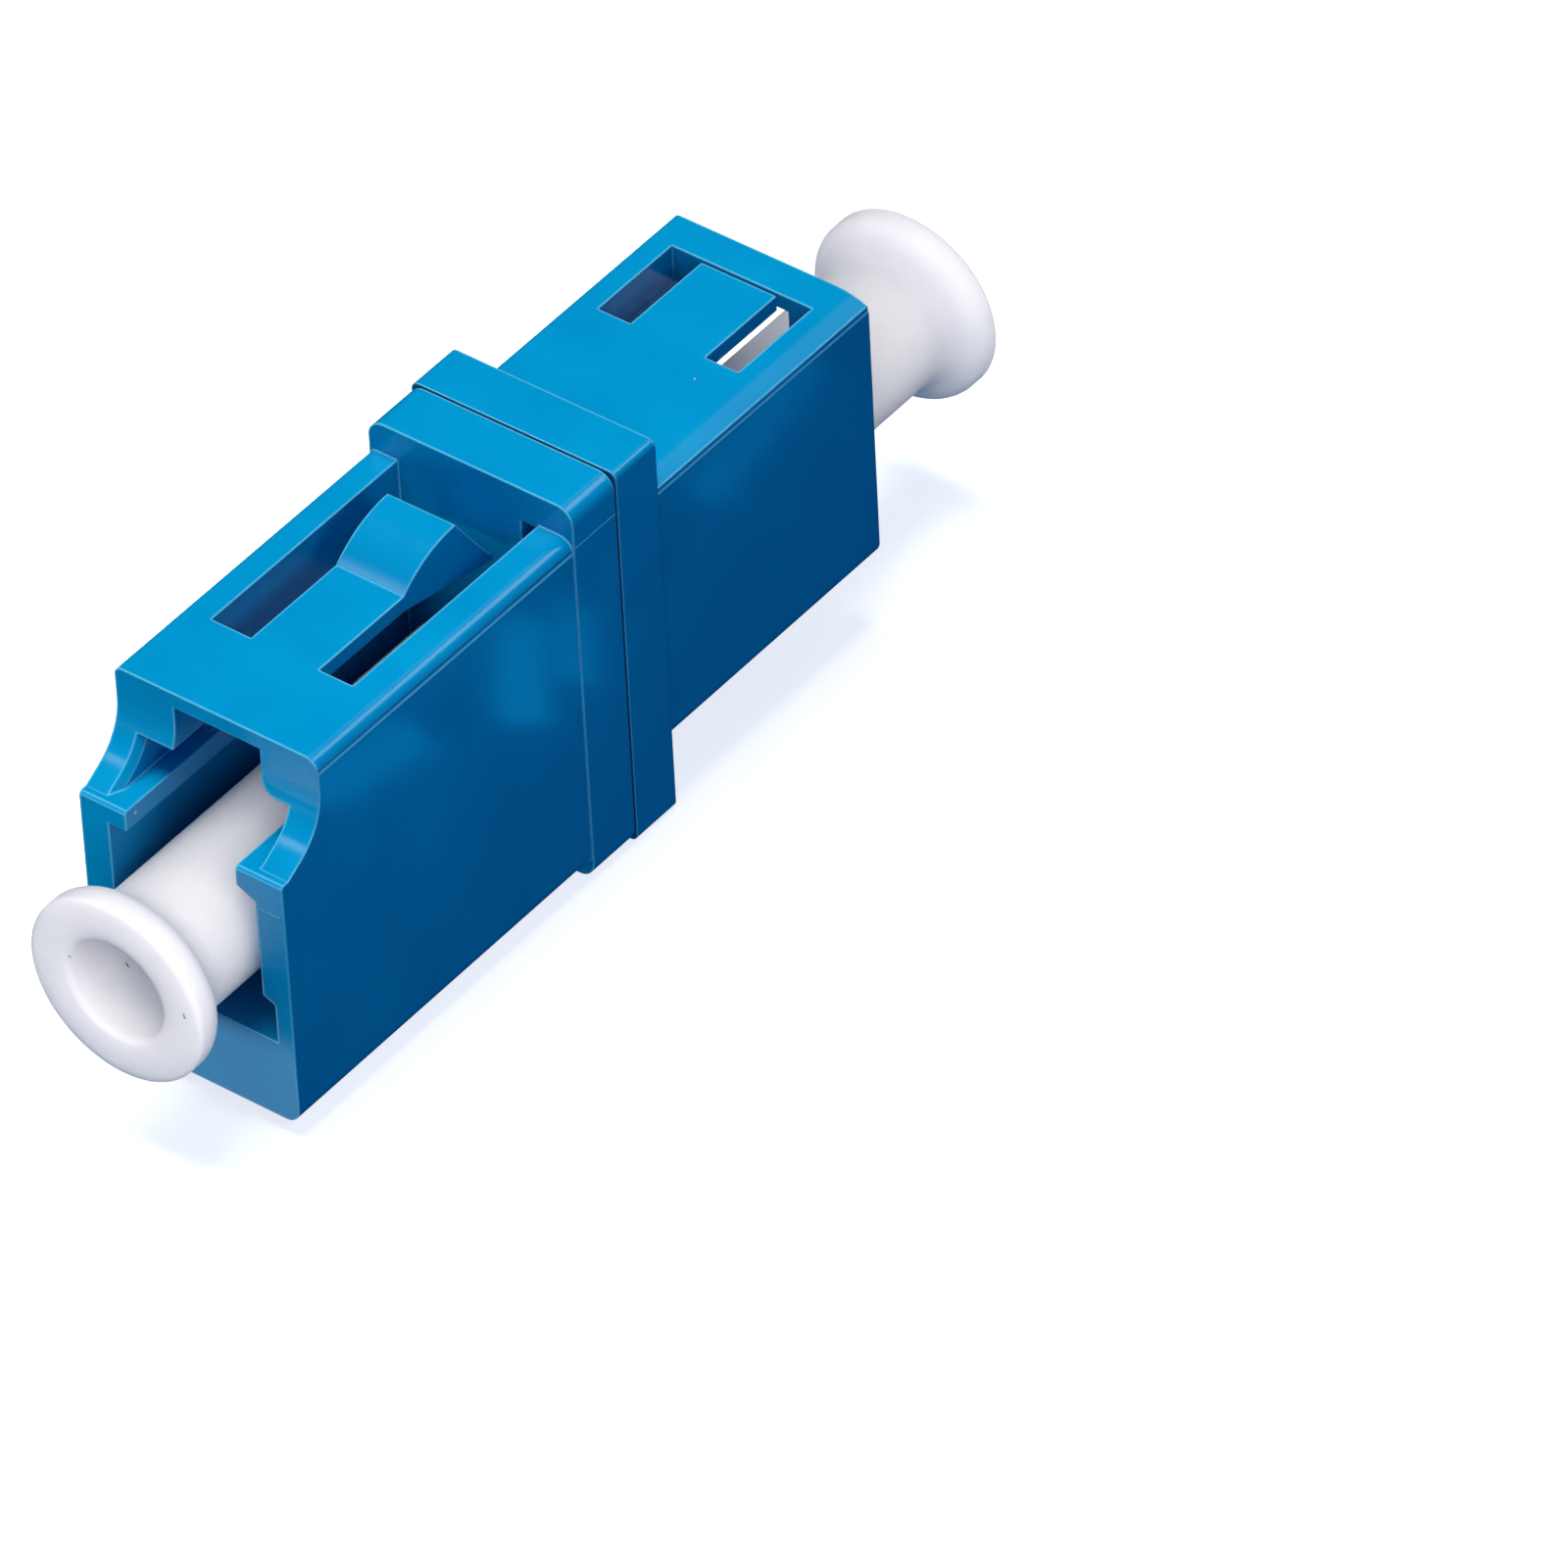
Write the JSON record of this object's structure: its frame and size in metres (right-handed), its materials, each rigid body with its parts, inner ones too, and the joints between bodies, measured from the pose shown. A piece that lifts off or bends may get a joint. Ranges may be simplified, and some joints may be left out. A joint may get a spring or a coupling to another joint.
{
  "type": "lc fibre adapter",
  "caption": "Simplex LC fibre adapter in blue plastic: panel flange, sprung panel clip, latch windows, split sleeve inside and white dust caps on its ends.",
  "frame": {"origin": "on the optical axis where the two ferrules meet, which is also the plane where the two housing halves join", "axes": "+Y along the optical axis towards the shorter end B, +Z towards the side with the latch ways and the panel clip"},
  "size_m": [0.0064, 0.0328, 0.0122],
  "materials": {
    "housing": "moulded blue, gloss",
    "sleeve": "ground white ceramic",
    "cap": "soft white, satin"
  },
  "bodies": {
    "adapter": {"housing_a": "housing", "housing_b": "housing", "split_sleeve": "sleeve"},
    "cap_a": {"dust_cap_a": "cap"},
    "cap_b": {"dust_cap_b": "cap"}
  },
  "joints": [
    {"name": "cap_a_pull", "type": "slide", "parent": "adapter", "child": "cap_a", "axis": [0, -1, 0], "range_m": [0, 0.016]},
    {"name": "cap_b_pull", "type": "slide", "parent": "adapter", "child": "cap_b", "axis": [0, 1, 0], "range_m": [0, 0.013]}
  ]
}
